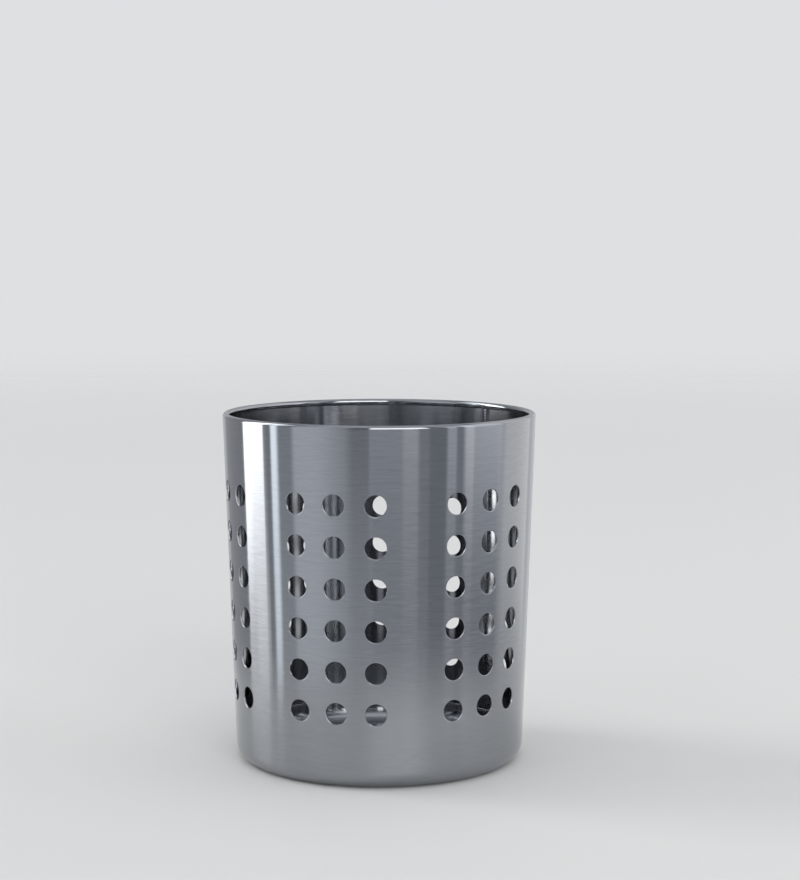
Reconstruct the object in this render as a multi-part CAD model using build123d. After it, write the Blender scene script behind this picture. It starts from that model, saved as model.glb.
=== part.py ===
# Utensil holder: a round, open-topped cup of thin stainless steel sheet, a little wider at the mouth than at the foot.
#
# It is two pieces of sheet and the two welds that join them.
#   perforated_wall  a strip punched with groups of round holes, rolled into a cone and curled inwards at the mouth
#   wall_seam_weld   the upright butt weld that closes the rolled strip, from the ring weld to the curl's free edge
#   base_pan         a shallow pressed pan: short skirt, round corner, flat foot ring, raised centre with drain holes
#   base_ring_weld   the weld that joins the pan's skirt to the wall, ground flush outside, a low bead inside
#
# Frame: +Z is up, the origin is the centre of the foot at the height of what the holder stands on, and -Y is the
# front, where a group of holes is centred. Angles round the holder are measured from -Y towards +X. Millimetres.

import os
from math import acos, cos, degrees, radians, sin, tan

from build123d import *

# Overall form
rim_diameter = 120.0  # over the outside of the curled rim
height = 134.0  # from the foot to the top of the rim
wall_lean = 2.0  # degrees that the wall leans out from upright
sheet = 0.5  # thickness of the wall and of the base

# Curled rim
curl_diameter = 2.6  # over the outside of the rolled edge
curl_gap = 0.3  # from the curl's free edge to the inside of the wall

# Punched holes, the same size in the wall and in the base
hole_diameter = 8.0
hole_breakout = 0.05  # that a hole's radius is greater on the inside of the sheet

# Layout of the holes in the wall
row_pitch = 15.35  # upright distance between rows
lowest_row_height = 28.35  # of the lowest row's centres above the foot
plain_band = 28.0  # least distance from the highest row's centres up to the top of the rim
hole_groups = 6  # round the wall
columns_per_group = 3  # each group is followed by the width of one column left plain

# Base pan
corner_radius = 6.4  # outside, where the wall turns into the foot
skirt_height = 1.4  # of the straight stretch above the corner, up to the ring weld
foot_width = 8.0  # flat ring that the holder stands on
panel_rise = 1.6  # of the centre panel above the foot
step_run = 2.4  # width of the slope from the foot ring up to the panel
drain_hole_pitch = 15.0  # from the centre hole to each of the ring of holes round it
drain_holes_in_ring = 6

# Welds
weld_width = 1.2
bead_height = 0.15  # that a weld stands proud of the inside of the sheet
seam_angle = 150.0  # degrees round from the front, in the plain strip between two groups of holes

# The small round forms are drawn with a few straight sides each, so that the solids stay light.
hole_sides = 12
inner_curl_sides = 3  # from the free edge up to the top of the rim
outer_curl_sides = 2  # from the top of the rim down to the wall
corner_sides = 3

# The curl is a circle in section. The wall's outer face runs into it at a tangent.
curl_radius = curl_diameter / 2
curl_centre_r = rim_diameter / 2 - curl_radius
curl_centre_z = height - curl_radius
lean = radians(wall_lean)

# Heights up the outer face where the pan ends and the wall begins, with the ring weld between them.
skirt_top = corner_radius + skirt_height
wall_foot = skirt_top + weld_width

# Rows stand one above another, so the columns lie at equal angles, with one left out after every group.
hole_rows = 1 + int((height - plain_band - lowest_row_height) / row_pitch)
column_angle = 360 / hole_groups / (columns_per_group + 1)
seam_half_angle = degrees(weld_width / rim_diameter)


def wall_point(z):
    """Radius and height of the point at height z on the wall's outer face."""
    return (curl_centre_r + curl_radius / cos(lean) - (curl_centre_z - z) * tan(lean), z)


def arc_points(centre_r, centre_z, radius, start, end, sides):
    """Points at equal steps along an arc in section, from one angle in degrees to another, both included."""
    angles = [radians(start + (end - start) * step / sides) for step in range(sides + 1)]
    return [(centre_r + radius * cos(angle), centre_z + radius * sin(angle)) for angle in angles]


def bent_sheet(outer_line, thickness):
    """Section of metal this thick whose outer face follows the points, which run from the mouth towards the base."""
    points = [Vector(*point) for point in outer_line]
    steps = [(end - start).normalized() for start, end in zip(points, points[1:])]
    inward = [step.rotate(Axis.Z, -90) for step in steps]
    inner_line = [
        point + (above + below) * (thickness / (1 + above.dot(below)))
        for point, above, below in zip(points, [inward[0], *inward], [*inward, inward[-1]])
    ]
    return Plane.XZ * make_face(Polyline(*points, *reversed(inner_line), close=True))


def wall_line():
    """Outer face of the wall in section, from the curl's free edge, over the rim and down to the ring weld."""
    free_edge_angle = 360 - degrees(acos((curl_radius - sheet - curl_gap) / curl_radius))
    curl = (curl_centre_r, curl_centre_z, curl_radius)
    inner_side = arc_points(*curl, free_edge_angle, 90, inner_curl_sides)
    outer_side = arc_points(*curl, 90, -wall_lean, outer_curl_sides)
    return [*inner_side, *outer_side[1:], wall_point(wall_foot)]


def hole_punch():
    """Punch for one hole: the sheet's outer face goes at its origin and faces its +Z, and its wider end is inside."""
    outline = RegularPolygon(hole_diameter / 2, hole_sides, rotation=180 / hole_sides)
    wide_outline = RegularPolygon(hole_diameter / 2 + hole_breakout, hole_sides, rotation=180 / hole_sides)
    return loft([Pos(0, 0, -2 * sheet) * wide_outline, Pos(0, 0, sheet) * outline], ruled=True)


def wall_hole_punches():
    """A punch for each hole in the wall, square to the wall's surface."""
    punch = hole_punch()
    middle_column = (columns_per_group - 1) / 2
    punches = []
    for group in range(hole_groups):
        for column in range(columns_per_group):
            angle = (group * (columns_per_group + 1) + column - middle_column) * column_angle
            for row in range(hole_rows):
                radius, z = wall_point(lowest_row_height + row * row_pitch)
                place = Pos(0, -radius, z) * Rot(90 + wall_lean, 0, 0)
                punches.append(Rot(0, 0, angle) * place * punch)
    return punches


def perforated_wall():
    """The rolled strip: it goes round from one side of the seam weld to the other."""
    rolled = revolve(bent_sheet(wall_line(), sheet), Axis.Z, 360 - 2 * seam_half_angle)
    return Rot(0, 0, seam_angle - 90 + seam_half_angle) * rolled - wall_hole_punches()


def wall_seam_weld():
    """The strip of weld metal between the sheet's two edges, thicker than the sheet by its bead inside."""
    strip = revolve(bent_sheet(wall_line(), sheet + bead_height), Axis.Z, 2 * seam_half_angle)
    return Rot(0, 0, seam_angle - 90 - seam_half_angle) * strip


def base_ring_weld():
    """Ring of weld metal between the pan's skirt and the wall, thicker than the sheet by its bead inside."""
    return revolve(bent_sheet([wall_point(wall_foot), wall_point(skirt_top)], sheet + bead_height), Axis.Z)


def base_pan():
    """The pressed pan: skirt, corner, foot ring, and a slope up to the raised centre with its drain holes."""
    foot_outer_r = wall_point(0)[0] - corner_radius * tan((radians(90) - lean) / 2)
    foot_inner_r = foot_outer_r - foot_width
    outer_line = [
        wall_point(skirt_top),
        *arc_points(foot_outer_r, corner_radius, corner_radius, -wall_lean, -90, corner_sides),
        (foot_inner_r, 0),
        (foot_inner_r - step_run, panel_rise),
        (0, panel_rise),
    ]
    pan = revolve(bent_sheet(outer_line, sheet), Axis.Z)
    centre_drain = Pos(0, 0, panel_rise) * Rot(180, 0, 0) * hole_punch()
    ring_of_drains = [
        Rot(0, 0, turn * 360 / drain_holes_in_ring) * Pos(0, -drain_hole_pitch, 0) * centre_drain
        for turn in range(drain_holes_in_ring)
    ]
    return pan - [centre_drain, *ring_of_drains]


os.makedirs("parts", exist_ok=True)
for make in (perforated_wall, wall_seam_weld, base_pan, base_ring_weld):
    export_step(make(), f"parts/{make.__name__}.step")
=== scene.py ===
"""Utensil holder: a round, slightly tapered cup of brushed steel sheet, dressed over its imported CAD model.

The wall is drawn flat first, as the punched blank that such a cup is made from, and is then rolled: across the
blank becomes the angle round the cup, up the blank becomes the way up the wall and over the curled rim, and height
above the blank points out of the cup. Angles are measured from the front, -Y, towards +X. Lengths are in metres.
"""

from math import acos, atan2, cos, degrees, pi, prod, radians, sin, tan

import bmesh
import bpy
from bpy.props import FloatProperty, FloatVectorProperty, IntProperty, PointerProperty
from bpy.types import Operator, Panel, PropertyGroup
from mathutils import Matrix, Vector


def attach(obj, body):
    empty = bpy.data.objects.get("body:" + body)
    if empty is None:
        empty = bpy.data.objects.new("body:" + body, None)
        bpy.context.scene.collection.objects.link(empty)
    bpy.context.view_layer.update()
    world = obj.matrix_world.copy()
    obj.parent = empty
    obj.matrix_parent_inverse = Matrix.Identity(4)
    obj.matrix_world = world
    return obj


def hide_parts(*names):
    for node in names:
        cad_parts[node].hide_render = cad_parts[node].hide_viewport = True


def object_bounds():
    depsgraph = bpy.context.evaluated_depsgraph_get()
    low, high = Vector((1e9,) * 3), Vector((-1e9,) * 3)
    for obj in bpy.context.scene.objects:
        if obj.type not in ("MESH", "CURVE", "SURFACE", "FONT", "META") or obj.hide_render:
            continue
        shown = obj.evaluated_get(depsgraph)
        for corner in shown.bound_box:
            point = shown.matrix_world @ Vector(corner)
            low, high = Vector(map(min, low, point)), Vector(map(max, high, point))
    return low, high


bl_info = {
    "name": "Utensil holder",
    "version": (1, 0, 0),
    "blender": (4, 5, 0),
    "location": "3D View > Sidebar > Holder",
    "description": "Builds a perforated steel utensil holder on its CAD frame, with a studio round it",
    "category": "Add Mesh",
}

MM = 0.001
STEPS_PER_SIDE = 10  # of the square tile of sheet that a hole is punched in, so that 40 spokes meet its rim
ROLL_STEPS = 4  # round the edge that the punch draws in
TILE_RINGS = ROLL_STEPS + 6  # from the tile's border outside, through the hole, to its border inside
BAND_STEPS = 2  # up the plain band over the holes
CURL_STEPS = 24  # round the curled rim
PAN_STEPS = 240  # round the base
CORNER_STEPS = 20  # down the corner between the base's skirt and its foot
BEND_STEPS = 5  # over each bend of the slope up to the centre panel
DRAIN_STEPS = 48  # round a drain hole
WELD_STEPS = 4  # across a weld outside, and twice as many inside
RIPPLE_STEPS = 5  # along each ripple of a weld
RIPPLE_DEPTH = 0.2  # of the bead's height, to each side of its mean
CREASE_ANGLE = radians(40)  # an edge that bends more stays sharp
MERGE_DISTANCE = 0.002 * MM
EASE_SHARE = 0.25  # size of a hole's eased inner edge, for an edge roll of 1
SCRATCH_SHADE, STREAK_SHADE = 0.38, 0.08  # what the brush lines and the broad streaks vary the colour by
SCRATCH_ROUGHNESS = 0.05  # what the brush lines vary the roughness by
STREAK_LENGTH, STREAK_SPACING = 3, 4  # of the broad streaks, as multiples of a brush line's
SOFT_FOOT, SOFT_TOP = 6, 10  # degrees over which a panel's lower and upper edges are soft
FLOOR_FADE = 0.3, 0.95  # of the floor's radius, from where it is whole to where it is gone

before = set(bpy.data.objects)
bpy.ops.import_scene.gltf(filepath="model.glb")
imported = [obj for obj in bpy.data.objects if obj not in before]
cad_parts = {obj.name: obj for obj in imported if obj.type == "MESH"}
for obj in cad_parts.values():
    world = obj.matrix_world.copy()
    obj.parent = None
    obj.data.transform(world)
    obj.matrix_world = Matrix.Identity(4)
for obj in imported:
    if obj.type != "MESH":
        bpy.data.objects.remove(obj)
cad_low, cad_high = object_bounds()


def hex_to_linear(code):
    """Linear red, green and blue of a colour written as six hexadecimal digits."""
    parts = [int(code[start : start + 2], 16) / 255 for start in (0, 2, 4)]
    return [part / 12.92 if part <= 0.04045 else ((part + 0.055) / 1.055) ** 2.4 for part in parts]


def distance(name, description, default):
    """A property that is a length in metres."""
    return FloatProperty(name=name, description=description, default=default, min=0, unit="LENGTH", precision=5)


def colour(name, description, code):
    """A property that is a colour, with its default as six hexadecimal digits."""
    return FloatVectorProperty(
        name=name, description=description, default=hex_to_linear(code), size=3, min=0, max=1, subtype="COLOR"
    )


class HolderForm(PropertyGroup):
    """Sizes of the sheet metal."""

    height: distance("Height", "From the foot to the top of the rim", cad_high.z)
    rim_diameter: distance("Rim diameter", "Over the outside of the curled rim", 120 * MM)
    wall_lean: FloatProperty(
        name="Wall lean", description="Of the wall outwards from upright", default=radians(2), unit="ROTATION"
    )
    sheet: distance("Sheet", "Thickness of the wall and the base", 0.5 * MM)
    curl_diameter: distance("Curl diameter", "Over the outside of the rolled edge", 2.6 * MM)
    curl_gap: distance("Curl gap", "From the curl's free edge to the inside of the wall", 0.3 * MM)
    hole_diameter: distance("Hole diameter", "Of the holes in the wall and the base", 8 * MM)
    edge_roll: distance("Edge roll", "Radius that the punch leaves on the edge of a hole", 0.28 * MM)
    row_pitch: distance("Row pitch", "Upright distance between rows of holes", 15.35 * MM)
    lowest_row_height: distance("Lowest row", "Height of the lowest row of holes", 28.35 * MM)
    hole_rows: IntProperty(name="Rows", description="Rows of holes, one above another", default=6, min=1)
    hole_groups: IntProperty(name="Groups", description="Groups of holes round the wall", default=6, min=1)
    columns_per_group: IntProperty(name="Columns", description="Columns of holes in a group", default=3, min=1)
    corner_radius: distance("Corner radius", "Outside, where the wall turns into the foot", 6.4 * MM)
    skirt_height: distance("Skirt height", "Straight stretch of the base above its corner", 1.4 * MM)
    foot_width: distance("Foot width", "Of the flat ring that the holder stands on", 8 * MM)
    panel_rise: distance("Panel rise", "Of the centre panel above the foot", 1.6 * MM)
    step_run: distance("Step run", "Width of the slope from the foot ring to the panel", 2.4 * MM)
    step_radius: distance("Step radius", "Of the bends at the ends of the slope, outside", 1.5 * MM)
    drain_hole_pitch: distance("Drain hole pitch", "From the middle drain hole to each one round it", 15 * MM)
    drain_holes_in_ring: IntProperty(name="Drain holes", description="Round the middle one", default=6, min=0)
    weld_width: distance("Weld width", "Of the seam and of the ring that joins the base", 1.2 * MM)
    bead_height: distance("Bead height", "That a weld stands proud inside", 0.15 * MM)
    ripple_pitch: distance("Ripple pitch", "Between the ripples of a weld bead", 1.1 * MM)
    seam_angle: FloatProperty(
        name="Seam angle", description="Of the upright weld, from the front", default=radians(150), unit="ROTATION"
    )


class HolderFinish(PropertyGroup):
    """Colours and brushing of the steel."""

    steel: colour("Steel", "Brushed sheet", "9a9da1")
    base: colour("Base", "Pressed base", "9a9da1")
    weld: colour("Weld", "Ground weld", "9a9da1")
    brush_roughness: FloatProperty(
        name="Brush roughness", description="Across the brush lines", default=0.12, min=0, max=1, subtype="FACTOR"
    )
    brush_spacing: distance("Brush spacing", "Between brush lines", 0.3 * MM)
    brush_length: distance("Brush length", "Of a brush line round the cup", 6 * MM)
    brush_depth: distance("Brush depth", "Of the scratches", 0.0014 * MM)


class StudioSettings(PropertyGroup):
    """Floor, backdrop, light and camera."""

    floor: colour("Floor", "Plain pale floor", "d6d6d4")
    backdrop: colour("Backdrop", "Plain pale backdrop", "dfe0e2")
    walls: colour("Walls", "What the steel mirrors between the panels", "a8abb1")
    floor_radius: distance("Floor radius", "Where the floor ends", 3.0)
    mirrored_radius: distance("Mirrored radius", "As far as the steel mirrors the floor", 0.26)
    open_radius: distance("Open radius", "No floor is mirrored within it, so that the underside shows", 50 * MM)
    lamp_height: distance("Lamp height", "Of the overhead soft box, over the floor", 1.6)
    lamp_size: distance("Lamp size", "Across the overhead soft box", 1.6)
    lamp_power: FloatProperty(name="Lamp power", description="Of the overhead soft box", default=3.4, unit="POWER")
    camera_azimuth: FloatProperty(
        name="Camera azimuth", description="Round from the front", default=radians(16.28), unit="ROTATION"
    )
    camera_distance: distance("Camera distance", "From the cup's axis, level", 789.8 * MM)
    camera_height: distance("Camera height", "Above the floor", 204.1 * MM)
    camera_lens: FloatProperty(name="Lens", description="Focal length", default=84.35, unit="CAMERA")
    camera_pitch: FloatProperty(
        name="Camera pitch", description="Down from level", default=radians(5.87), unit="ROTATION"
    )
    camera_yaw: FloatProperty(
        name="Camera yaw", description="To the right of the cup's axis", default=radians(0.58), unit="ROTATION"
    )


class Number:
    """A number in a node tree. Arithmetic on it adds Math nodes to the same tree."""

    def __init__(self, socket):
        self.socket = socket

    def math(self, operation, *others):
        inputs = dict(enumerate((self, *others)))
        return Number(add_node(self.socket.id_data, "ShaderNodeMath", inputs, operation=operation).outputs[0])

    def __add__(self, other):
        return self.math("ADD", other)

    def __radd__(self, other):
        return self.math("ADD", other)

    def __sub__(self, other):
        return self.math("SUBTRACT", other)

    def __rsub__(self, other):
        return self.math("MULTIPLY", -1).math("ADD", other)

    def __mul__(self, other):
        return self.math("MULTIPLY", other)

    def __rmul__(self, other):
        return self.math("MULTIPLY", other)

    def __truediv__(self, other):
        return self.math("DIVIDE", other)

    def __mod__(self, other):
        return self.math("FLOORED_MODULO", other)

    def __floordiv__(self, other):
        return self.math("DIVIDE", other).math("FLOOR")

    def __gt__(self, other):
        return self.math("GREATER_THAN", other)

    def __lt__(self, other):
        return self.math("LESS_THAN", other)

    def between(self, low, high):
        """The number itself, held within these limits."""
        return self.math("MAXIMUM", low).math("MINIMUM", high)

    def sin(self):
        return self.math("SINE")

    def cos(self):
        return self.math("COSINE")

    def tan(self):
        return self.math("TANGENT")


def set_input(socket, value):
    """Links the socket to a number, another node's output or a node's first output, or gives it a plain value."""
    if isinstance(value, Number):
        value = value.socket
    elif isinstance(value, bpy.types.Node):
        value = value.outputs[0]
    if isinstance(value, bpy.types.NodeSocket):
        socket.id_data.links.new(value, socket)
    else:
        socket.default_value = value


def add_node(tree, kind, inputs=None, **settings):
    """Adds a node to the tree with its settings, and links or sets its inputs, given by name or number."""
    node = tree.nodes.new(kind)
    for name, value in settings.items():
        setattr(node, name, value)
    for key, value in (inputs or {}).items():
        set_input(node.inputs[key], value)
    return node


def numbers(node):
    """The node's outputs, each as a number."""
    return [Number(output) for output in node.outputs]


def sizes_tree(name, sizes):
    """A Geometry Nodes tree with one named input for each size, and those inputs as numbers."""
    tree = bpy.data.node_groups.new(name, "GeometryNodeTree")
    tree.interface.new_socket("Geometry", in_out="OUTPUT", socket_type="NodeSocketGeometry")
    for label, value in sizes.items():
        kind = "NodeSocketInt" if isinstance(value, int) else "NodeSocketFloat"
        tree.interface.new_socket(label, in_out="INPUT", socket_type=kind)
    group_input = add_node(tree, "NodeGroupInput")
    return tree, {label: Number(group_input.outputs[label]) for label in sizes}


def mesh_from_tree(name, tree, sizes):
    """A plain mesh object, from a Geometry Nodes tree run with these sizes."""
    piece = bpy.data.objects.new(name, bpy.data.meshes.new(name))
    bpy.context.scene.collection.objects.link(piece)
    modifier = piece.modifiers.new("Shape", "NODES")
    modifier.node_group = tree
    for item in tree.interface.items_tree:
        if item.name in sizes:
            modifier[item.identifier] = sizes[item.name]
    evaluated = piece.evaluated_get(bpy.context.evaluated_depsgraph_get())
    mesh = bpy.data.meshes.new_from_object(evaluated)
    piece.modifiers.remove(modifier)
    piece.data = mesh
    return piece


def hand_over(piece, node):
    """The piece rides on the holder's body in place of the CAD node, which is hidden."""
    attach(piece, "root")
    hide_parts(node)


class RolledSheet:
    """Sizes of the rolled sheet that follow from the form. Up the blank is 0 where the wall meets the curl."""

    def __init__(self, form):
        self.lean = form.wall_lean
        self.curl_radius = form.curl_diameter / 2
        self.curl_centre_r = form.rim_diameter / 2 - self.curl_radius
        self.curl_centre_z = form.height - self.curl_radius
        self.mouth_r = self.curl_centre_r + self.curl_radius * cos(self.lean)
        free_edge_cosine = (self.curl_radius - form.sheet - form.curl_gap) / self.curl_radius
        self.curl_length = self.curl_radius * (2 * pi - acos(free_edge_cosine) + self.lean)
        self.skirt_top = self.up_at(form.corner_radius + form.skirt_height)
        self.wall_foot = self.up_at(form.corner_radius + form.skirt_height + form.weld_width)
        self.row_pitch = form.row_pitch / cos(self.lean)
        self.lowest_row = self.up_at(form.lowest_row_height)
        self.seam_half_angle = form.weld_width / form.rim_diameter

    def up_at(self, height):
        """Way up the blank to the point of the outer face at this height."""
        return (height - self.curl_centre_z + self.curl_radius * sin(self.lean)) / cos(self.lean)

    def place(self, angle, up, out):
        """Where a point of the blank lies on the rolled sheet. Out is the height above the outer face."""
        bend = max(0, up) / self.curl_radius - self.lean
        below = max(0, -up)
        radius = self.curl_centre_r + (self.curl_radius + out) * cos(bend) - below * sin(self.lean)
        height = self.curl_centre_z + (self.curl_radius + out) * sin(bend) - below * cos(self.lean)
        return Vector((radius * sin(angle), -radius * cos(angle), height))


def tile_place(step):
    """Place along a row of tiles, in tiles from the first one's middle. The steps subtend equal angles there."""
    within = step % STEPS_PER_SIDE - STEPS_PER_SIDE / 2
    return step // STEPS_PER_SIDE + (within * (pi / 2 / STEPS_PER_SIDE)).tan() / 2


def way_up(step, size):
    """Way up the blank of each step from its foot edge, over the rows of holes and the band, to the free edge."""
    in_tiles = step - 1
    in_band = in_tiles - size["Tile steps"]
    in_curl = in_band - BAND_STEPS
    foot_band = step.between(0, 1) * (size["Tiles low"] - size["Foot"])
    tiles = (tile_place(in_tiles.between(0, size["Tile steps"])) + 0.5) * size["Row pitch"]
    band = in_band.between(0, BAND_STEPS) * size["Tiles high"] / -BAND_STEPS
    curl = in_curl.between(0, CURL_STEPS) * size["Curl length"] / CURL_STEPS
    return size["Foot"] + foot_band + tiles + band + curl


def placed(tree, geometry, x, y, z):
    """The geometry with its points moved to these places."""
    position = add_node(tree, "ShaderNodeCombineXYZ", {0: x, 1: y, 2: z})
    return add_node(tree, "GeometryNodeSetPosition", {"Geometry": geometry, "Position": position})


def plain_blank(tree, size):
    """Both faces of the blank, with its foot and free edges, and a gap wherever a tile with a hole goes."""
    # Each column of points goes up the outer face, over the free edge, down the inner face and back to its start.
    last_step = size["Last step"]
    loop = 2 * last_step + 3
    counts = {"Vertices X": size["Blank columns"] * STEPS_PER_SIDE + 1, "Vertices Y": loop}
    grid = add_node(tree, "GeometryNodeMeshGrid", counts)
    across = tile_place(size["Index"] // loop + STEPS_PER_SIDE / 2) * size["Column width"]
    across = across.between(size["Near edge"], size["Far edge"])
    step = size["Index"] % loop
    inner = (step > last_step) * (step < 2 * last_step + 2)
    up = way_up(step.math("MINIMUM", 2 * last_step + 1 - step), size)
    blank = placed(tree, grid, across, up, inner * size["Sheet"] * -1)

    face_middle = add_node(tree, "GeometryNodeInputPosition")
    face_across, face_up, _ = numbers(add_node(tree, "ShaderNodeSeparateXYZ", {0: face_middle}))
    in_group = (face_across / size["Column width"]).math("ROUND") % (size["Columns"] + 1) > 0.5
    in_rows = (face_up > size["Tiles low"]) * (face_up < size["Tiles high"])
    gaps = {"Geometry": blank, "Selection": in_group * in_rows}
    return add_node(tree, "GeometryNodeDeleteGeometry", gaps, domain="FACE")


def seam_edges(tree, size):
    """The two upright edges of the blank, which close it where the seam weld goes."""
    rows = size["Last step"] + 1
    grid = add_node(tree, "GeometryNodeMeshGrid", {"Vertices X": 2, "Vertices Y": rows})
    out = size["Index"] // rows * size["Sheet"] * -1
    up = way_up(size["Index"] % rows, size)
    near, far = (placed(tree, grid, size[edge], up, out) for edge in ("Near edge", "Far edge"))
    return far, add_node(tree, "GeometryNodeFlipFaces", {"Mesh": near})


def punched_tile(tree, size):
    """One tile of the blank with its hole: rolled over by the punch outside, broken out and eased inside."""
    spokes = 4 * STEPS_PER_SIDE
    grid = add_node(tree, "GeometryNodeMeshGrid", {"Vertices X": spokes + 1, "Vertices Y": TILE_RINGS})
    angle = size["Index"] // TILE_RINGS * (2 * pi / spokes)
    # Ring 0 is the tile's border. Ring 1 lies flat beside the hole, and the next ones go over the rolled edge, down
    # the bore and over its eased inner edge. The last is the border again, inside.
    ring = size["Index"] % TILE_RINGS
    turn = ((ring - 2) / ROLL_STEPS).between(0, 1) * (pi / 2)
    bored = (ring - (ROLL_STEPS + 2)).between(0, 1)
    eased = (ring - (ROLL_STEPS + 3)).between(0, 1)
    roll, ease = size["Edge roll"], size["Edge roll"] * EASE_SHARE
    radius = size["Hole radius"] + roll * (1 - turn.sin()) + ease * (ring < 1.5) + ease * bored + ease * eased
    out = (roll * (1 - turn.cos()) + bored * (size["Sheet"] - roll - ease) + eased * ease) * -1
    on_border = (ring < 0.5) + (ring > TILE_RINGS - 1.5)
    longest = angle.cos().math("ABSOLUTE").math("MAXIMUM", angle.sin().math("ABSOLUTE")) * 2
    from_middle = radius * angle.cos() * (1 - on_border)
    across = from_middle + on_border * angle.cos() / longest * size["Column width"]
    up = radius * angle.sin() * (1 - on_border) + on_border * angle.sin() / longest * size["Row pitch"]
    noted = {"Geometry": placed(tree, grid, across, up, out), "Name": "from_middle", "Value": from_middle}
    return add_node(tree, "GeometryNodeStoreNamedAttribute", noted, domain="POINT")


def tiles_in_place(tree, size):
    """A copy of the tile for every hole: rows of columns, with one column left out after each group."""
    column = size["Index"] // size["Rows"]
    group = column // size["Columns"]
    across = (group * (size["Columns"] + 1) + column % size["Columns"] + 1) * size["Column width"]
    up = size["Lowest row"] + size["Index"] % size["Rows"] * size["Row pitch"]
    holes = size["Groups"] * size["Columns"] * size["Rows"]
    centre = add_node(tree, "ShaderNodeCombineXYZ", {0: across, 1: up})
    points = add_node(tree, "GeometryNodePoints", {"Count": holes, "Position": centre})
    tiles = {"Points": points, "Instance": punched_tile(tree, size)}
    copies = add_node(tree, "GeometryNodeInstanceOnPoints", tiles)
    return add_node(tree, "GeometryNodeRealizeInstances", {"Geometry": copies})


def rolled(tree, size, geometry):
    """The blank rolled into the cup. Its normals are those of the flat blank, turned with the sheet."""
    kept = add_node(tree, "GeometryNodeCaptureAttribute", {"Geometry": geometry}, domain="CORNER")
    kept.capture_items.new("VECTOR", "Flat normal")
    set_input(kept.inputs["Flat normal"], add_node(tree, "GeometryNodeInputNormal"))

    flat_place = add_node(tree, "GeometryNodeInputPosition")
    across, up, out = numbers(add_node(tree, "ShaderNodeSeparateXYZ", {0: flat_place}))
    from_middle, _ = numbers(add_node(tree, "GeometryNodeInputNamedAttribute", {"Name": "from_middle"}))
    below = (up * -1).math("MAXIMUM", 0)
    bend = up.math("MAXIMUM", 0) / size["Curl radius"] - size["Lean"]
    near_radius = size["Mouth radius"] - below * size["Lean"].sin()
    angle = (across - from_middle) / size["Mouth radius"] + from_middle / near_radius + size["Seam angle"]
    reach = size["Curl radius"] + out
    radius = size["Curl centre radius"] + reach * bend.cos() - below * size["Lean"].sin()
    height = size["Curl centre height"] + reach * bend.sin() - below * size["Lean"].cos()

    kept_turn = add_node(tree, "GeometryNodeCaptureAttribute", {"Geometry": kept}, domain="POINT")
    kept_turn.capture_items.new("VECTOR", "Attitude")
    set_input(kept_turn.inputs["Attitude"], add_node(tree, "ShaderNodeCombineXYZ", {0: pi / 2 - bend, 2: angle}))
    shaped = placed(tree, kept_turn, radius * angle.sin(), radius * angle.cos() * -1, height)
    turn = {"Vector": kept.outputs["Flat normal"], "Rotation": kept_turn.outputs["Attitude"]}
    turned = add_node(tree, "ShaderNodeVectorRotate", turn, rotation_type="EULER_XYZ")
    normals = {"Mesh": shaped, "Custom Normal": turned}
    on_corners = add_node(tree, "GeometryNodeSetMeshNormal", normals, mode="FREE", domain="CORNER")
    return add_node(tree, "GeometryNodeRemoveAttribute", {"Geometry": on_corners, "Name": "from_middle"})


def wall_tree(sizes, material):
    """Geometry Nodes that punch the blank and roll it."""
    tree, size = sizes_tree("Perforated wall", sizes)
    # To its sizes are added the numbers that several of its parts need.
    (size["Index"],) = numbers(add_node(tree, "GeometryNodeInputIndex"))
    size["Tile steps"] = size["Rows"] * STEPS_PER_SIDE
    size["Last step"] = size["Tile steps"] + (1 + BAND_STEPS + CURL_STEPS)
    size["Blank columns"] = size["Groups"] * (size["Columns"] + 1)
    size["Column width"] = size["Mouth radius"] * (2 * pi) / size["Blank columns"]
    size["Near edge"] = size["Seam half angle"] * size["Mouth radius"]
    size["Far edge"] = size["Blank columns"] * size["Column width"] - size["Near edge"]
    size["Tiles low"] = size["Lowest row"] - size["Row pitch"] / 2
    size["Tiles high"] = size["Tiles low"] + size["Rows"] * size["Row pitch"]
    joined = add_node(tree, "GeometryNodeJoinGeometry")
    for part in (plain_blank(tree, size), *seam_edges(tree, size), tiles_in_place(tree, size)):
        set_input(joined.inputs[0], part)
    merged = add_node(tree, "GeometryNodeMergeByDistance", {"Geometry": joined, "Distance": MERGE_DISTANCE})
    edge_angle, _ = numbers(add_node(tree, "GeometryNodeInputMeshEdgeAngle"))
    creases = {"Geometry": merged, "Selection": edge_angle > CREASE_ANGLE, "Shade Smooth": False}
    creased = add_node(tree, "GeometryNodeSetShadeSmooth", creases, domain="EDGE")
    shaped = rolled(tree, size, creased)
    painted = add_node(tree, "GeometryNodeSetMaterial", {"Geometry": shaped, "Material": material})
    add_node(tree, "NodeGroupOutput", {0: painted})
    return tree


def brush_lines(tree, x, y, z, radius, length, spacing):
    """Brush lines round the cup, of about this length and this far apart, as a shade from 0 to 1."""
    # A belt's real scratches lie about 0.05 mm apart, too fine to show, so they are drawn several times as coarse.
    drawn_out = {0: x * (1 / length), 1: y * (1 / length), 2: z * (1 / spacing)}
    place = {"Vector": add_node(tree, "ShaderNodeCombineXYZ", drawn_out), "W": radius * (1 / spacing)}
    fineness = {"Scale": 1.0, "Detail": 4.0, "Roughness": 0.6}
    return numbers(add_node(tree, "ShaderNodeTexNoise", place | fineness, noise_dimensions="4D"))[0]


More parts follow.
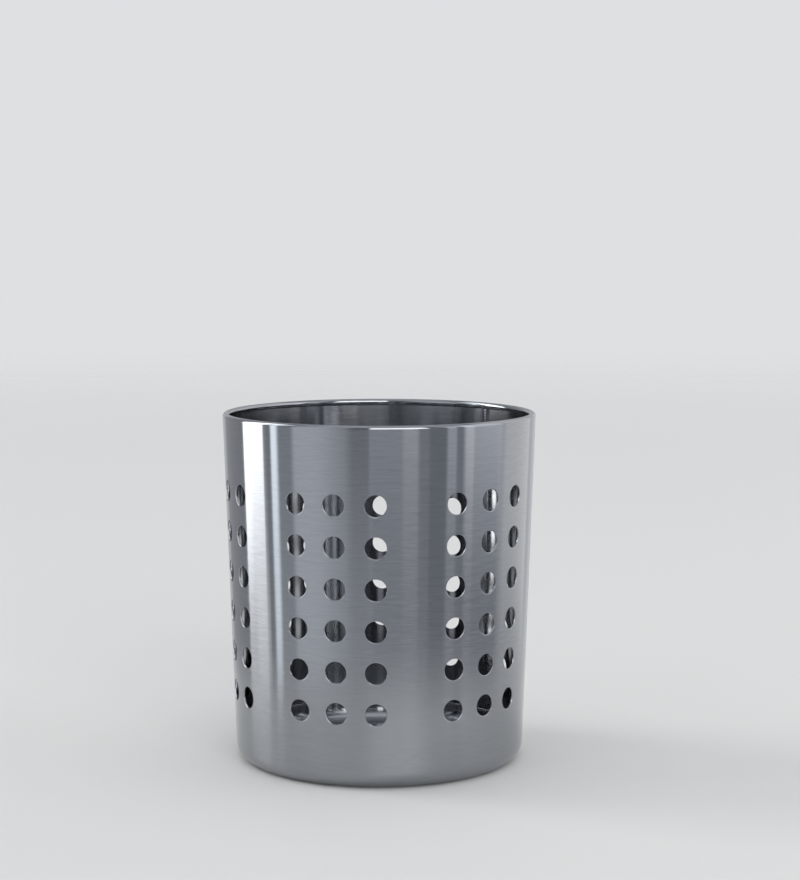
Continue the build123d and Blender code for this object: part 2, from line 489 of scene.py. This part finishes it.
def brushed_steel(name, tint, finish):
    """Stainless steel brushed round the cup with a fine abrasive belt."""
    # To the eye it is a cool mid grey. What it mirrors stays sharp from side to side and is drawn out up and down
    # into upright stripes, with short faint dashes along the brushing.
    material = bpy.data.materials.new(name)
    material.use_nodes = True
    tree = material.node_tree
    shader = tree.nodes["Principled BSDF"]
    place = add_node(tree, "ShaderNodeTexCoord").outputs["Object"]
    x, y, z = numbers(add_node(tree, "ShaderNodeSeparateXYZ", {0: place}))
    radius = (x * x + y * y).math("SQRT")
    lines = finish.brush_length, finish.brush_spacing
    streaks = STREAK_LENGTH * finish.brush_length, STREAK_SPACING * finish.brush_spacing
    scratch, streak = (brush_lines(tree, x, y, z, radius, *size) for size in (lines, streaks))

    grey = 1 - (SCRATCH_SHADE + STREAK_SHADE) / 2 + scratch * SCRATCH_SHADE + streak * STREAK_SHADE
    even_grey = add_node(tree, "ShaderNodeCombineXYZ", {0: grey, 1: grey, 2: grey})
    shades = {"Factor": 1.0, "A": (*tint, 1), "B": even_grey}
    shade = add_node(tree, "ShaderNodeMix", shades, data_type="RGBA", blend_type="MULTIPLY")
    scratches = {"Height": scratch, "Distance": finish.brush_depth, "Strength": 1.0}
    for socket, value in {
        "Base Color": shade.outputs["Result"],
        "Metallic": 1.0,
        "Anisotropic": 1.0,
        "Anisotropic Rotation": 0.25,  # a quarter turn, so that highlights are drawn out across the brush lines
        "Roughness": finish.brush_roughness - SCRATCH_ROUGHNESS / 2 + scratch * SCRATCH_ROUGHNESS,
        "Tangent": add_node(tree, "ShaderNodeCombineXYZ", {0: y * -1, 1: x}),
        "Normal": add_node(tree, "ShaderNodeBump", scratches),
    }.items():
        set_input(shader.inputs[socket], value)
    return material


def new_piece(name, mesh, material):
    """An object in the scene with this mesh, all in one material."""
    piece = bpy.data.objects.new(name, mesh)
    bpy.context.scene.collection.objects.link(piece)
    mesh.materials.clear()
    mesh.materials.append(material)
    return piece


def arc(centre_r, centre_z, radius, start, end, steps):
    """Points of an arc in section, both ends included, with its angles in radians from straight out."""
    angles = [start + (end - start) * step / steps for step in range(steps + 1)]
    return [(centre_r + radius * cos(angle), centre_z + radius * sin(angle)) for angle in angles]


def pan_line(form, depth):
    """A face of the base in section, this deep in the sheet, from the ring weld down and in to the centre panel."""
    sheet = RolledSheet(form)
    top = sheet.place(0, sheet.skirt_top, -depth)
    corner, bend = form.corner_radius, form.step_radius
    foot_outer_r = sheet.place(0, sheet.up_at(0), 0).length - corner * tan((pi / 2 - form.wall_lean) / 2)
    foot_inner_r = foot_outer_r - form.foot_width
    panel_r = foot_inner_r - form.step_run
    slope = atan2(form.panel_rise, form.step_run)
    tangent = bend * tan(slope / 2)
    return [
        (-top.y, top.z),
        *arc(foot_outer_r, corner, corner - depth, -form.wall_lean, -pi / 2, CORNER_STEPS),
        *arc(foot_inner_r + tangent, bend, bend - depth, -pi / 2, -pi / 2 - slope, BEND_STEPS),
        *arc(panel_r - tangent, form.panel_rise - bend, bend + depth, pi / 2 - slope, pi / 2, BEND_STEPS),
    ]


class MESH_OT_holder_wall(Operator):
    """Punch the sheet, roll it into the cup and curl its rim"""

    bl_idname = "mesh.holder_wall"
    bl_label = "Perforated wall"

    def execute(self, context):
        form, finish = context.scene.holder_form, context.scene.holder_finish
        sheet = RolledSheet(form)
        sizes = {
            "Sheet": form.sheet,
            "Hole radius": form.hole_diameter / 2,
            "Edge roll": form.edge_roll,
            "Rows": form.hole_rows,
            "Row pitch": sheet.row_pitch,
            "Lowest row": sheet.lowest_row,
            "Groups": form.hole_groups,
            "Columns": form.columns_per_group,
            "Foot": sheet.wall_foot,
            "Lean": sheet.lean,
            "Mouth radius": sheet.mouth_r,
            "Curl radius": sheet.curl_radius,
            "Curl centre radius": sheet.curl_centre_r,
            "Curl centre height": sheet.curl_centre_z,
            "Curl length": sheet.curl_length,
            "Seam angle": form.seam_angle,
            "Seam half angle": sheet.seam_half_angle,
        }
        # Cold-rolled stainless steel sheet, brushed after rolling: even dashes all round, inside and out.
        steel = brushed_steel("Brushed stainless steel", finish.steel, finish)
        wall = mesh_from_tree("holder_wall", wall_tree(sizes, steel), sizes)
        hand_over(wall, "perforated_wall")
        return {"FINISHED"}


def closed_mesh(name, shape):
    """A mesh of this closed shape, with its faces outwards, smooth but for its creases."""
    bmesh.ops.recalc_face_normals(shape, faces=shape.faces)
    mesh = bpy.data.meshes.new(name)
    shape.to_mesh(mesh)
    shape.free()
    mesh.shade_smooth()
    mesh.set_sharp_from_angle(angle=CREASE_ANGLE)
    return mesh


def ring_of_points(shape, centre, radius, height, steps):
    """Points at equal steps round an upright axis."""
    turns = [2 * pi * step / steps for step in range(steps)]
    return [shape.verts.new((centre[0] + radius * sin(turn), centre[1] - radius * cos(turn), height)) for turn in turns]


def join_rings(shape, rings):
    """Faces between each ring of points and the next."""
    for ring, other in zip(rings, rings[1:]):
        for start, end in zip(range(-1, len(ring) - 1), range(len(ring))):
            shape.faces.new((ring[start], ring[end], other[end], other[start]))


def pressed_pan(form):
    """The base's two faces, turned about its axis, and its centre panel with the drain holes punched through."""
    shape = bmesh.new()
    lines = pan_line(form, 0), pan_line(form, form.sheet)
    faces = [[ring_of_points(shape, (0, 0), r, z, PAN_STEPS) for r, z in line] for line in lines]
    for rings in faces:
        join_rings(shape, rings)
    join_rings(shape, (faces[0][0], faces[1][0]))
    panels = [rings[-1:] for rings in faces]
    roll, ease, radius = form.edge_roll, form.edge_roll * EASE_SHARE, form.hole_diameter / 2
    rolled_over = arc(radius + roll, form.panel_rise + roll, roll, -pi / 2, -pi, ROLL_STEPS)
    inside = form.panel_rise + form.sheet
    bore = [*rolled_over, (radius, inside - ease), (radius + ease, inside)]
    turns = [2 * pi * turn / form.drain_holes_in_ring for turn in range(form.drain_holes_in_ring)]
    pitch = form.drain_hole_pitch
    for centre in [(0, 0), *((pitch * sin(turn), -pitch * cos(turn)) for turn in turns)]:
        rings = [ring_of_points(shape, centre, r, z, DRAIN_STEPS) for r, z in bore]
        join_rings(shape, rings)
        panels[0].append(rings[0])
        panels[1].append(rings[-1])
    for loops in panels:
        edges = [shape.edges.get((loop[one - 1], loop[one])) for loop in loops for one in range(len(loop))]
        bmesh.ops.triangle_fill(shape, use_beauty=True, use_dissolve=False, edges=edges)
    return closed_mesh("holder_base", shape)


class MESH_OT_holder_base(Operator):
    """Press the base pan, with its raised panel and its drain holes"""

    bl_idname = "mesh.holder_base"
    bl_label = "Base pan"

    def execute(self, context):
        form, finish = context.scene.holder_form, context.scene.holder_finish
        # The same sheet, pressed in a die and then brushed as it turned: rings of fine lines round the middle.
        steel = brushed_steel("Pressed stainless steel", finish.base, finish)
        base = new_piece("holder_base", pressed_pan(form), steel)
        hand_over(base, "base_pan")
        return {"FINISHED"}


def weld_bead(name, form, steps, closed, place):
    """A strip of weld metal: flush outside, with a rippled crown inside. Place takes steps along and parts across."""
    outside = [(part / WELD_STEPS, 0) for part in range(WELD_STEPS + 1)]
    inside = [(1 - part / (2 * WELD_STEPS), 1) for part in range(2 * WELD_STEPS + 1)]
    section = outside + inside
    shape = bmesh.new()
    rows = []
    for step in range(steps + (not closed)):
        ripple = 1 - RIPPLE_DEPTH + RIPPLE_DEPTH * cos(2 * pi * step / RIPPLE_STEPS)
        row = []
        for part, inner in section:
            crown = form.bead_height * ripple * sin(pi * part) ** 0.5 if inner and 0 < part < 1 else 0
            row.append(shape.verts.new(place(step, part, -inner * form.sheet - crown)))
        rows.append(row)
    pairs = list(zip(rows, rows[1:])) + ([(rows[-1], rows[0])] if closed else [])
    for row, after in pairs:
        for one in range(len(section)):
            other = (one + 1) % len(section)
            shape.faces.new((row[one], row[other], after[other], after[one]))
    if not closed:
        shape.faces.new(rows[0])
        shape.faces.new(rows[-1])
    return closed_mesh(name, shape)


class MESH_OT_holder_welds(Operator):
    """Lay the ring weld round the base and the upright weld up the seam"""

    bl_idname = "mesh.holder_welds"
    bl_label = "Welds"

    def execute(self, context):
        form, finish = context.scene.holder_form, context.scene.holder_finish
        sheet = RolledSheet(form)
        # The same steel melted together, then ground with the wall's belt outside, where it hardly shows. Inside, the
        # ripples of the bead catch the light.
        steel = brushed_steel("Ground stainless weld", finish.weld, finish)
        ring_steps = RIPPLE_STEPS * round(pi * form.rim_diameter / form.ripple_pitch)
        ring_width = sheet.wall_foot - sheet.skirt_top

        def round_the_base(step, part, out):
            return sheet.place(2 * pi * step / ring_steps, sheet.skirt_top + part * ring_width, out)

        ring = weld_bead("holder_ring_weld", form, ring_steps, True, round_the_base)
        hand_over(new_piece("holder_ring_weld", ring, steel), "base_ring_weld")

        seam_length = sheet.curl_length - sheet.wall_foot
        seam_steps = RIPPLE_STEPS * round(seam_length / form.ripple_pitch)

        def up_the_seam(step, part, out):
            angle = form.seam_angle + (2 * part - 1) * sheet.seam_half_angle
            return sheet.place(angle, sheet.wall_foot + seam_length * step / seam_steps, out)

        seam = weld_bead("holder_seam_weld", form, seam_steps, False, up_the_seam)
        hand_over(new_piece("holder_seam_weld", seam, steel), "wall_seam_weld")
        return {"FINISHED"}


# What the steel mirrors: cards, flags and soft boxes round the cup. Each has its left and right edge in degrees
# round from the camera, its lower and upper edge in degrees up from level, its colour and strength, and the width
# over which its left and its right side are soft.
STUDIO_PANELS = (
    (-181, 181, 60, 91, "e6e8ec", 1.0, 1, 1),  # pale ceiling
    (-82, -6, -90, -11, "c4c7cc", 1.1, 3, 6),  # pale apron in front, low down
    (-181, -154, -90, 50, "cbcdd0", 1.0, 1, 6),
    (-154, -118, -90, 50, "aeb0b4", 1.0, 10, 1),
    (-118, -94, -11, 50, "ffffff", 4.4, 2, 1),  # tall soft box at the left
    (-109, -92, -26, -11, "ffffff", 1.15, 6, 2),  # and its dimmer foot
    (-86, -80, -90, -12, "f2f7fc", 1.6, 2, 3),
    (-86, -80, -12, 50, "f2f7fc", 2.7, 2, 4),  # slim box beside it
    (-66, -33, -90, 50, "eff2f8", 1.0, 5, 40),
    (-22, -7, -11, 50, "9ca0a6", 0.75, 8, 3),
    (-7, 29, -11, 50, "c8ccd4", 1.0, 3, 3),
    (17, 28, -8, 50, "ffffff", 1.1, 2, 2),
    (-7, 37, 11, 42, "ffffff", 3.4, 2, 2),  # soft box in front
    (37, 50, -90, 50, "9ca0a6", 0.97, 2, 2),
    (50.5, 58, -9, 50, "eff2f8", 1.25, 2, 2),
    (64, 102, -30, -9, "8c8f95", 1.1, 3, 6),
    (64, 102, -9, 50, "f6f9ff", 1.4, 3, 6),  # white card at the right
    (66, 73, -9, 50, "ffffff", 1.65, 2, 2),
    (102, 181, -13, 50, "ffffff", 1.05, 12, 1),
    (146, 181, -90, 50, "dadcdf", 1.0, 6, 1),
    (168, 181, -90, 58, "b6b8bb", 1.0, 6, 1),  # flags that keep the outline darker than the backdrop
    (-181, -168, -90, 58, "b6b8bb", 1.0, 1, 6),
)


def add_panel(tree, light, azimuth, elevation, left, right, low, high, code, strength, soft_left, soft_right):
    """Covers part of the studio's light with a panel."""
    inside = []
    for value, edge, softness in (
        (azimuth, left, soft_left),
        (azimuth, right, -soft_right),
        (elevation, low, SOFT_FOOT),
        (elevation, high, -SOFT_TOP),
    ):
        step = {"Value": value, "From Min": edge - softness / 2, "From Max": edge + softness / 2}
        inside.append(numbers(add_node(tree, "ShaderNodeMapRange", step, interpolation_type="SMOOTHSTEP"))[0])
    shade = [part * strength for part in hex_to_linear(code)]
    cover = {"Factor": prod(inside[1:], start=inside[0]), "A": light, "B": (*shade, 1)}
    return add_node(tree, "ShaderNodeMix", cover, data_type="RGBA").outputs["Result"]


def studio_light(studio):
    """A world that lights and is mirrored by the steel, with a plain backdrop where the camera sees past the floor."""
    world = bpy.data.worlds.new("Studio")
    bpy.context.scene.world = world
    world.use_nodes = True
    tree = world.node_tree
    tree.nodes.clear()
    turn = {"Vector": add_node(tree, "ShaderNodeTexCoord").outputs["Generated"], "Angle": -studio.camera_azimuth}
    facing = add_node(tree, "ShaderNodeVectorRotate", turn, rotation_type="Z_AXIS")
    x, y, z = numbers(add_node(tree, "ShaderNodeSeparateXYZ", {0: facing}))
    azimuth = x.math("ARCTAN2", y * -1) * degrees(1)
    elevation = z.math("ARCSINE") * degrees(1)
    light = (*studio.walls, 1)
    for panel in STUDIO_PANELS:
        light = add_panel(tree, light, azimuth, elevation, *panel)
    lit = add_node(tree, "ShaderNodeBackground", {"Color": light})
    seen = add_node(tree, "ShaderNodeBackground", {"Color": (*studio.backdrop, 1)})
    by_camera = add_node(tree, "ShaderNodeLightPath").outputs["Is Camera Ray"]
    mix = add_node(tree, "ShaderNodeMixShader", {0: by_camera, 1: lit, 2: seen})
    add_node(tree, "ShaderNodeOutputWorld", {"Surface": mix})


def floor_material(studio):
    """Matt and pale, clear from below. The steel mirrors only the part near the cup, and the cards beyond that."""
    material = bpy.data.materials.new("Floor")
    material.use_nodes = True
    tree = material.node_tree
    shader = tree.nodes["Principled BSDF"]
    for socket, value in {"Base Color": (*studio.floor, 1), "Roughness": 0.55, "Specular IOR Level": 0.3}.items():
        set_input(shader.inputs[socket], value)
    place = add_node(tree, "ShaderNodeTexCoord").outputs["Object"]
    x, y, _ = numbers(add_node(tree, "ShaderNodeSeparateXYZ", {0: place}))
    from_cup = (x * x + y * y).math("SQRT")
    fades = []
    for start, end in (
        (studio.mirrored_radius / 2, studio.mirrored_radius),
        [share * studio.floor_radius for share in FLOOR_FADE],
    ):
        step = {"Value": from_cup, "From Min": start, "From Max": end}
        fades.append(numbers(add_node(tree, "ShaderNodeMapRange", step, interpolation_type="SMOOTHSTEP"))[0])
    past_mirrored, past_edge = fades
    mirrored = Number(add_node(tree, "ShaderNodeLightPath").outputs["Is Glossy Ray"])
    hidden = (past_mirrored * mirrored).math("MAXIMUM", past_edge)
    hidden = hidden.math("MAXIMUM", (from_cup < studio.open_radius) * mirrored)
    hidden = hidden.math("MAXIMUM", add_node(tree, "ShaderNodeNewGeometry").outputs["Backfacing"])
    seen = {0: hidden, 1: shader, 2: add_node(tree, "ShaderNodeBsdfTransparent")}
    set_input(tree.nodes["Material Output"].inputs["Surface"], add_node(tree, "ShaderNodeMixShader", seen))
    return material


class SCENE_OT_holder_studio(Operator):
    """Lay the floor, light the studio and place the camera"""

    bl_idname = "scene.holder_studio"
    bl_label = "Studio"

    def execute(self, context):
        studio = context.scene.holder_studio
        shape = bmesh.new()
        bmesh.ops.create_circle(shape, cap_ends=True, segments=96, radius=studio.floor_radius)
        mesh = bpy.data.meshes.new("floor")
        shape.to_mesh(mesh)
        shape.free()
        new_piece("floor", mesh, floor_material(studio))
        studio_light(studio)

        lamp = bpy.data.lights.new("overhead", "AREA")
        lamp.shape = "DISK"
        lamp.size = studio.lamp_size
        lamp.energy = studio.lamp_power
        overhead = bpy.data.objects.new("overhead", lamp)
        overhead.location = (0, 0, studio.lamp_height)
        overhead.visible_glossy = False
        context.scene.collection.objects.link(overhead)

        lens = bpy.data.cameras.new("camera")
        lens.sensor_fit = "AUTO"
        lens.sensor_width = 36.0
        lens.lens = studio.camera_lens
        camera = bpy.data.objects.new("camera", lens)
        context.scene.collection.objects.link(camera)
        azimuth, away = studio.camera_azimuth, studio.camera_distance
        camera.location = (away * sin(azimuth), -away * cos(azimuth), studio.camera_height)
        camera.rotation_euler = (pi / 2 - studio.camera_pitch, 0, azimuth - studio.camera_yaw)
        context.scene.camera = camera
        context.scene.view_settings.view_transform = "Standard"
        return {"FINISHED"}


class VIEW3D_PT_holder(Panel):
    """Sidebar panel with a button for each step"""

    bl_label = "Utensil holder"
    bl_space_type = "VIEW_3D"
    bl_region_type = "UI"
    bl_category = "Holder"

    def draw(self, context):
        for operator in operators:
            self.layout.operator(operator.bl_idname)
        for settings in (context.scene.holder_form, context.scene.holder_finish, context.scene.holder_studio):
            box = self.layout.box()
            for name in settings.__annotations__:
                box.prop(settings, name)


operators = (MESH_OT_holder_wall, MESH_OT_holder_base, MESH_OT_holder_welds, SCENE_OT_holder_studio)
classes = (HolderForm, HolderFinish, StudioSettings, *operators, VIEW3D_PT_holder)


def register():
    for cls in classes:
        bpy.utils.register_class(cls)
    bpy.types.Scene.holder_form = PointerProperty(type=HolderForm)
    bpy.types.Scene.holder_finish = PointerProperty(type=HolderFinish)
    bpy.types.Scene.holder_studio = PointerProperty(type=StudioSettings)


def unregister():
    del bpy.types.Scene.holder_form
    del bpy.types.Scene.holder_finish
    del bpy.types.Scene.holder_studio
    for cls in reversed(classes):
        bpy.utils.unregister_class(cls)


def main():
    register()
    bpy.ops.mesh.holder_wall()
    bpy.ops.mesh.holder_base()
    bpy.ops.mesh.holder_welds()
    bpy.ops.scene.holder_studio()


if __name__ == "__main__":
    main()
